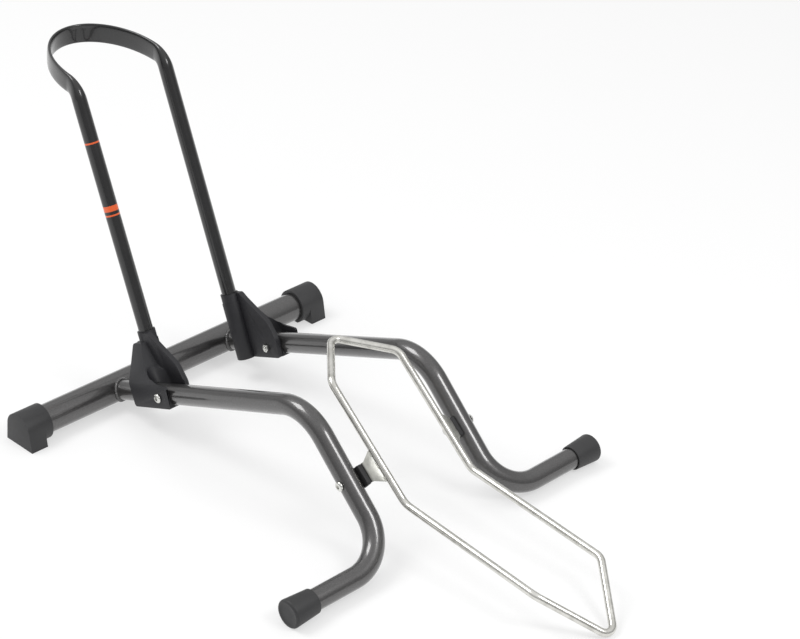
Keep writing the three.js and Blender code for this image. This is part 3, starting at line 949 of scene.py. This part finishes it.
bracket = {
    "outer": 114.5,
    "inner": 76,
    "flange": 2.8,
    "socketWall": 2.7,
    "floor": -15,
    "top": 66,
    "collarTop": 79,
    "collarStep": 0.8,
    "fold": 108,
    "turnGap": 0.4,
    "boltHole": 3.3,
    "round": 0.9,
    "outerOutline": [
        (-60, -15, 4), (21.5, -15, 3), (24, 15, 3),
        (0, 19.5, 20), (-26, 34, 14), (-41, 66, 3), (-60, 66, 3),
    ],
    "innerOutline": [
        (-49, -15, 0), (20, -15, 3), (22.5, 12, 14),
        (14, 36, 20), (-33, 78, 3), (-49, 78, 0),
    ],
    "taper": [(114.5, 18), (91, 66)],  # the outer face leans in between these, as (side, up)
    "overlap": 0.6,
    "ribInset": 2,
    "collarDepth": 5,
    "cutPast": 10,
    "wedge": (90, 120, 300),  # width, top and half length of what the taper cuts off
    "farCut": 400,  # how far the leg's room is cut each way
    "boltCut": (60, 130),  # from and to, out from the middle
    "boltSides": 48,
}


def makeBrackets():
    slotInner = layout["legSpread"] - layout["legRadius"] - layout["gap"]
    slotOuter = bracket["outer"] - bracket["flange"]
    socketRadius = hoop["radius"] + layout["gap"] + bracket["socketWall"]
    upward = Matrix.Rotation(-math.pi / 2, 4, "Y")
    at = Matrix.Translation((hoop["spread"] * mm, hoop["setback"] * mm, 0)) @ upward

    def bar(radius, low, high):
        return moved(rodX(radius, low, high), at)

    body = prismX(outline(bracket["outerOutline"]), slotInner, bracket["outer"])
    inner = prismX(outline(bracket["innerOutline"]), bracket["inner"], slotInner + bracket["overlap"])
    floor, top = bracket["floor"], bracket["top"]
    ribFront = -hoop["setback"]
    ribBack = ribFront - socketRadius + bracket["ribInset"]
    corners = [(ribBack, floor), (ribFront, floor), (ribFront, top), (ribBack, top)]
    rib = prismX([(y * mm, z * mm) for y, z in corners], hoop["spread"], slotInner + bracket["overlap"])

    # the outer face leans in toward the upright
    (lowX, lowZ), (highX, highZ) = bracket["taper"]
    width, wedgeTop, reach = bracket["wedge"]
    section = [
        (lowX, lowZ), (highX, highZ), (highX, wedgeTop), (lowX + width, wedgeTop), (lowX + width, lowZ)
    ]
    wedge = between(
        [(x * mm, -reach * mm, z * mm) for x, z in section],
        [(x * mm, reach * mm, z * mm) for x, z in section],
    )

    # room for the leg, open and folded, and everything between
    fold = math.radians(bracket["fold"])
    far = bracket["farCut"]

    def legRoom(turn):
        aside = Matrix.Translation((layout["legSpread"] * mm, 0, 0))
        lie = aside @ Matrix.Rotation(-turn, 4, "X") @ Matrix.Rotation(math.pi / 2, 4, "Z")
        return moved(rodX(layout["legRadius"] + bracket["turnGap"], -far, far), lie)

    def sector(sign):
        out = sign * far * mm
        points = [(0, 0), (out, 0), (out, out), (out * math.cos(fold), out * math.sin(fold))]
        return prismX(points, slotInner, slotOuter)

    hole = rodX(bracket["boltHole"], *bracket["boltCut"], bracket["boltSides"])
    collarStart = top - bracket["collarDepth"]
    tubeRoom = hoop["radius"] + layout["gap"]
    tubeSpan = (hoop["foot"] - layout["gap"], bracket["collarTop"] + bracket["cutPast"])
    steps = [
        ("UNION", inner),
        ("UNION", rib),
        ("DIFFERENCE", wedge),
        ("UNION", bar(socketRadius, floor, top)),
        ("UNION", bar(socketRadius - bracket["collarStep"], collarStart, bracket["collarTop"])),
        ("DIFFERENCE", legRoom(0)),
        ("DIFFERENCE", legRoom(fold)),
        ("DIFFERENCE", sector(1)),
        ("DIFFERENCE", sector(-1)),
        ("DIFFERENCE", bar(tubeRoom, *tubeSpan)),
        ("DIFFERENCE", hole),
    ]
    right = carve("hoop_bracket_right_skin", body, steps)
    right = soften(right, bracket["round"])
    right.data.transform(hoopPlace)
    finishPair(right, "hoop_bracket", "hoop", bracketPlastic)


makeBrackets()
print("brackets made")

cradle = {
    "radius": 5,
    "half": 57,
    # how far behind and above the pivot, and bend radius
    "corners": [(138, 107.3, 12), (73.2, 92.7, 20), (-58.9, -22.5, 25), (-279.8, -43.9, 20)],
    "tipReach": 356.9,
    "tipSink": 0.5,
    "tipBend": 12,
    "sides": 40,
    "bendSteps": 16,
}
behindLow, aboveLow = cradle["corners"][2][:2]
behindRear, aboveRear = cradle["corners"][1][:2]
wireRun = Vector((behindLow - behindRear, aboveLow - aboveRear)).normalized()
wireTilt = math.atan2(-wireRun.y, -wireRun.x)
wireAbove = behindRear * wireRun.y - aboveRear * wireRun.x
earPlace = Matrix.Translation(cradlePivot) @ Matrix.Rotation(wireTilt, 4, "X")


def makeCradleWire():
    def corner(i, side):
        behind, above = cradle["corners"][i][:2]
        return cradlePivot + Vector((side * cradle["half"], behind, above)) * mm

    tip = Vector((0, cradlePivot.y - cradle["tipReach"] * mm, -cradle["tipSink"] * mm))
    down = (1, 2, 3)
    back = (3, 2, 1)
    corners = [corner(0, 0), *(corner(i, 1) for i in down), tip, *(corner(i, -1) for i in back)]
    bends = [c[2] for c in cradle["corners"]]
    radii = [*bends, cradle["tipBend"], *(bends[i] for i in back)]
    path = roundedPath(corners, [r * mm for r in radii], cradle["bendSteps"])
    wire = sweep("cradle_wire_skin", path, cradle["radius"], cradle["sides"], wireZinc, True)
    finishPiece(wire, "cradle", ["cradle_wire"], wireZinc)


makeCradleWire()

plate = {
    "wall": 2,
    "face": 76,
    "drop": 6.5,
    "top": 1.2,
    "long": (-20.5, 23.5),
    "short": (-11.6, 15.8),
    "ear": 10.5,
    "fold": 3,
    "hole": 3.3,
    "holeCut": (60, 90),  # from and to, out from the middle
    "holeSides": 48,
    "foldSteps": 8,
    "foldSide": 1.5,  # how far in from the upright face the fold begins
    "grid": 1.2,
    "columns": 28,
    "earRound": 0.9,
    "edgeRound": 0.35,
    "edgeAngle": 50,
    "bead": 1.5,
    "ripple": 1.5,
    "tacks": [(-19.5, -13), (-2, 5), (17, 22.5)],  # from and to, along the wire
    "tackSteps": 6,
    "tackSunk": 0.6,
    "seed": 5,
}


def makePivotPlates():
    foldHeight = wireAbove - plate["drop"]
    half = plate["wall"] / 2
    edge = cradle["half"] + cradle["radius"] + layout["gap"]
    upper = wireAbove - plate["top"] - half
    face = plate["face"] - half
    corners = [
        Vector((edge, upper, 0)), Vector((face, foldHeight - half, 0)), Vector((face, -plate["ear"], 0))
    ]
    section = roundedPath(corners, [0, plate["fold"], 0], plate["foldSteps"])
    foldX = face - plate["foldSide"]
    rows = []
    for a, b in zip(section, section[1:]):
        pieces = max(1, round((b - a).length / plate["grid"]))
        rows += [a.lerp(b, k / pieces) for k in range(pieces)]
    rows.append(section[-1])

    # ends of the sheet, forward and back, at one place on the section
    def ends(at):
        ear = plate["ear"]
        if at.x < foldX:
            share = (at.x - edge) / (foldX - edge)
            return [a + (b - a) * share for a, b in zip(plate["long"], plate["short"])]
        rise = max(0, min(1, (at.y + ear) / (foldHeight + ear)))
        straight = [a + (b - a) * rise for a, b in zip((-ear, ear), plate["short"])]
        radius = plate["earRound"] * ear
        below = -ear + radius - at.y
        inset = radius - math.sqrt(max(0, radius ** 2 - below ** 2)) if below > 0 else 0
        return [straight[0] + inset, straight[1] - inset]

    columns = plate["columns"]
    shape = bmesh.new()
    grid = []
    for at in rows:
        low, high = ends(at)
        forward = [low + (high - low) * k / columns for k in range(columns + 1)]
        grid.append([shape.verts.new((at.x * mm, -y * mm, at.y * mm)) for y in forward])
    for one, two in zip(grid, grid[1:]):
        for k in range(columns):
            shape.faces.new((one[k], one[k + 1], two[k + 1], two[k]))
    bmesh.ops.remove_doubles(shape, verts=shape.verts, dist=cleaning["mergeWithin"] / 2 * mm)
    bmesh.ops.recalc_face_normals(shape, faces=shape.faces)
    sheet = meshObject("pivot_plate_right_skin", shape)
    thicken = sheet.modifiers.new("thickness", "SOLIDIFY")
    thicken.thickness = plate["wall"] * mm
    thicken.offset = 0
    thicken.use_even_offset = True
    sheet = settle(sheet)
    hole = rodX(plate["hole"], *plate["holeCut"], plate["holeSides"])
    solid = bmesh.new()
    solid.from_mesh(sheet.data)
    bmesh.ops.recalc_face_normals(solid, faces=solid.faces)
    bpy.data.objects.remove(sheet)
    sheet = carve("pivot_plate_right_skin", solid, [("DIFFERENCE", hole)])
    sheet = soften(sheet, plate["edgeRound"], plate["edgeAngle"], 2)
    sheet.data.transform(earPlace)
    finishPair(sheet, "pivot_plate", "cradle", sheetZinc)

    # short beads tack the sheet to the wire
    seamX = edge - plate["tackSunk"]
    steps = plate["tackSteps"]
    for n, (low, high) in enumerate(plate["tacks"]):
        forward = [low + (high - low) * k / steps for k in range(steps + 1)]
        points = [earPlace @ (Vector((seamX, -y, upper)) * mm) for y in forward]
        values = {
            "Bead Radius": plate["bead"] * mm,
            "Ripple Spacing": plate["ripple"] * mm,
            "Seed": plate["seed"] + n,
            "Finish": sheetZinc,
        }
        bead = grow(pathObject(points), welding, values, f"plate_tack_right_{n + 1}")
        finishBeads(bead, f"plate_tack_left_{n + 1}", "cradle")


makePivotPlates()

spacer = {
    "drop": 2,
    "floor": -6.5,
    "corner": 3,
    "round": 0.8,
    "hole": 3.3,
    "holeCut": (60, 100),
    "holeSides": 48,
}


def makeSpacerBlocks():
    top = wireAbove - plate["drop"] - spacer["drop"]
    low, high = plate["short"]
    corners = [(low, spacer["floor"]), (high, spacer["floor"]), (high, top), (low, top)]
    near = plate["face"] + layout["gap"]
    far = layout["legSpread"] - layout["legRadius"] - layout["gap"]
    block = prismX(outline([(x, y, spacer["corner"]) for x, y in corners]), near, far)
    hole = rodX(spacer["hole"], *spacer["holeCut"], spacer["holeSides"])
    right = soften(carve("spacer_block_right_skin", block, [("DIFFERENCE", hole)]), spacer["round"])
    right.data.transform(earPlace)
    finishPair(right, "spacer_block", "cradle", spacerRubber)


makeSpacerBlocks()
print("cradle made")

bolt = {
    "radius": 3,
    "head": 6.5,
    "headHeight": 3.5,
    "socket": 2.9,
    "socketDepth": 1.8,
    "tipChamfer": 0.5,
    "headEdge": 0.3,
    "crown": (0.42, 0.25),  # flat share of the head's radius, upright share of its height
    "crownSteps": 12,
    "sides": 72,
    "nutRadius": 5.8,
    "nutHeight": 5,
    "nutChamfer": [(0.9, 0.6), (0.6, 0.4)],  # in and along, at the far face and at the bearing face
    "threadRoom": 0.3,
    "cutPast": 2,
    "proud": 1.2,
    "edgeRound": {"bolt": 0.18, "nut": 0.15},
    "edgeAngle": 40,
}


# a button-head screw along X, its head's bearing face at x = 0
def makeBoltShape(name, length):
    high = bolt["headHeight"]
    radius, head = bolt["radius"], bolt["head"]
    chamfer, edge = bolt["tipChamfer"], bolt["headEdge"]
    flat, upright = bolt["crown"]
    profile = [(0, -length), (radius - chamfer, -length), (radius, -length + chamfer), (radius, 0)]
    profile += [(head - edge, 0), (head, edge)]
    for k in range(bolt["crownSteps"] + 1):
        angle = math.pi / 2 * k / bolt["crownSteps"]
        rounding = flat + (1 - flat) * math.cos(angle)
        rise = upright + (1 - upright) * math.sin(angle)
        profile.append((head * rounding, high * rise))
    profile.append((0, high))
    recess = rodX(bolt["socket"], high - bolt["socketDepth"], high + bolt["cutPast"], 6)
    shape = carve(name, turnedX(profile, bolt["sides"]), [("DIFFERENCE", recess)])
    return soften(shape, bolt["edgeRound"]["bolt"], bolt["edgeAngle"], 2)


# a hexagon nut along X with chamfered corners, its bearing face at x = 0
def makeNutShape(name):
    deep = bolt["nutHeight"]
    wide = bolt["nutRadius"]
    past = bolt["cutPast"]
    (farIn, farAlong), (nearIn, nearAlong) = bolt["nutChamfer"]
    hexagon = rodX(wide, -deep, 0, 6)
    chamfer = turnedX([
        (0, -deep), (wide - farIn, -deep), (wide, -deep + farAlong),
        (wide, -nearAlong), (wide - nearIn, 0), (0, 0),
    ], bolt["sides"])
    hole = rodX(bolt["radius"] + bolt["threadRoom"], -deep - past, past, 48)
    shape = carve(name, hexagon, [("INTERSECT", chamfer), ("DIFFERENCE", hole)])
    return soften(shape, bolt["edgeRound"]["nut"], bolt["edgeAngle"], 2)


def placeFasteners(name, shape, places, nodes):
    mesh = bpy.data.meshes.new("places")
    mesh.from_pydata([at for at, turn in places], [], [])
    turns = mesh.attributes.new("turn", "FLOAT_VECTOR", "POINT")
    turns.data.foreach_set("vector", [v for at, turn in places for v in (0, 0, turn)])
    piece = grow(linkObject("places", mesh), fastening, {"Fastener": shape, "Finish": screwZinc}, name)
    bpy.data.objects.remove(shape)
    shadeSmooth(piece)
    finishPiece(piece, "base", nodes, screwZinc)


def makeFasteners():
    legSide = layout["legSpread"] + layout["legRadius"]
    for label, pivot, seat, nutSeat in (
        ("bracket", bracketPivot, bracket["outer"], bracket["inner"]),
        ("cradle", cradlePivot, legSide, plate["face"] - plate["wall"]),
    ):
        bearing = seat + layout["gap"]
        nutFace = nutSeat - layout["gap"]
        tip = nutFace - bolt["nutHeight"] - bolt["proud"]
        for part, at, shape in (
            ("bolt", bearing, makeBoltShape("boltShape", bearing - tip)),
            ("nut", nutFace, makeNutShape("nutShape")),
        ):
            out = Vector((at * mm, 0, 0))
            places = [(pivot + out, 0), (pivot - out, math.pi)]
            nodes = [f"{label}_{part}_right", f"{label}_{part}_left"]
            placeFasteners(f"{label}_{part}s_skin", shape, places, nodes)


makeFasteners()
print("fasteners made")

# floor, light and camera
studio = {
    "floor": "#aaaaaa",
    "floorHalf": 14,  # metres
    "floorGlow": 0.54,
    "paperSize": 400,
    "sky": [(0.0, 0.28), (0.35, 0.48), (0.8, 0.9)],  # height and grey level: horizon, middle, zenith
    "backdrop": 0.95,  # white paper behind the rack, seen only in reflections
    "backdropBehind": (0.2, 0.7),
    "backdropBelow": (0.2, 0.1),
    "softboxes": {  # power in watts, side in metres, place in metres
        "overhead softbox": (46, 1.5, (-1.1, 1.5, 3.0)),
        "front softbox": (16, 0.75, (0.3, -1.75, 1.85)),
    },
    "lens": 111.715,
    "eye": (-1799.2, 2348.1, 1788.8),  # mm: side, forward of the cross tube, height
    "target": (366.27, 72.11, -26.3),
}


def makeFloor():
    shape = bmesh.new()
    bmesh.ops.create_grid(shape, x_segments=2, y_segments=2, size=studio["floorHalf"])
    floor = meshObject("studio_floor", shape)
    # a light table: translucent white sheet, lit from below as well, so that shadows stay faint
    material, tree, shader, where = newMaterial("light table sheet", {
        "Roughness": 0.9,
        "Specular IOR Level": 0.1,
        "Emission Color": (1, 1, 1, 1),
        "Emission Strength": studio["floorGlow"],
    })
    paper = addNode(
        tree, "ShaderNodeTexNoise", {"Scale": perMetre(studio["paperSize"]), "Detail": 2}, {"Vector": where}
    )
    tone = addNode(tree, "ShaderNodeMapRange", outRange(0.99, 1.0), {"Value": paper.outputs["Fac"]})
    colour = addNode(
        tree, "ShaderNodeVectorMath", {0: toLinear(studio["floor"])[:3]},
        {"Scale": tone.outputs["Result"]}, operation="SCALE",
    )
    tree.links.new(colour.outputs["Vector"], shader.inputs["Base Color"])
    floor.data.materials.append(material)


def makeWorld():
    world = bpy.data.worlds.new("studio")
    world.use_nodes = True
    bpy.context.scene.world = world
    tree = world.node_tree
    tree.nodes.clear()
    where = addNode(tree, "ShaderNodeTexCoord").outputs["Generated"]
    axes = addNode(tree, "ShaderNodeSeparateXYZ", links={"Vector": where}).outputs
    ramp = addNode(tree, "ShaderNodeValToRGB", links={"Fac": axes["Z"]})
    ramp.color_ramp.elements.new(studio["sky"][1][0])
    setRamp(ramp, [(position, (level, level, level, 1)) for position, level in studio["sky"]])
    shares = []
    for axis, span in (("Y", studio["backdropBehind"]), ("Z", studio["backdropBelow"])):
        bounds = {"From Min": span[0], "From Max": span[1]}
        shares.append(addNode(tree, "ShaderNodeMapRange", bounds, {"Value": axes[axis]}).outputs["Result"])
    paper = addNode(
        tree, "ShaderNodeMath", links=dict(enumerate(shares)), operation="MULTIPLY"
    ).outputs["Value"]
    white = (studio["backdrop"],) * 3 + (1,)
    mixed = addNode(
        tree, "ShaderNodeMix", {"B": white}, {"Factor": paper, "A": ramp.outputs["Color"]}, data_type="RGBA"
    )
    light = addNode(tree, "ShaderNodeBackground", {"Strength": 1.0}, {"Color": mixed.outputs["Result"]})
    addNode(tree, "ShaderNodeOutputWorld", links={"Surface": light.outputs["Background"]})


def aimAt(thing, target):
    thing.rotation_euler = (target - thing.location).to_track_quat("-Z", "Y").to_euler()


def makeSoftboxes():
    for name, (power, size, at) in studio["softboxes"].items():
        data = bpy.data.lights.new(name, "AREA")
        data.shape = "SQUARE"
        data.size = size
        data.energy = power
        lamp = linkObject(name, data)
        lamp.location = at
        aimAt(lamp, Vector((0, 0, 0)))


def makeCamera():
    data = bpy.data.cameras.new("camera")
    data.sensor_width = 36
    data.lens = studio["lens"]
    camera = linkObject("camera", data)
    camera.location = place(*studio["eye"])
    aimAt(camera, place(*studio["target"]))
    bpy.context.scene.camera = camera


makeFloor()
makeWorld()
makeSoftboxes()
makeCamera()
bpy.context.scene.view_settings.view_transform = "Standard"
print("studio made")
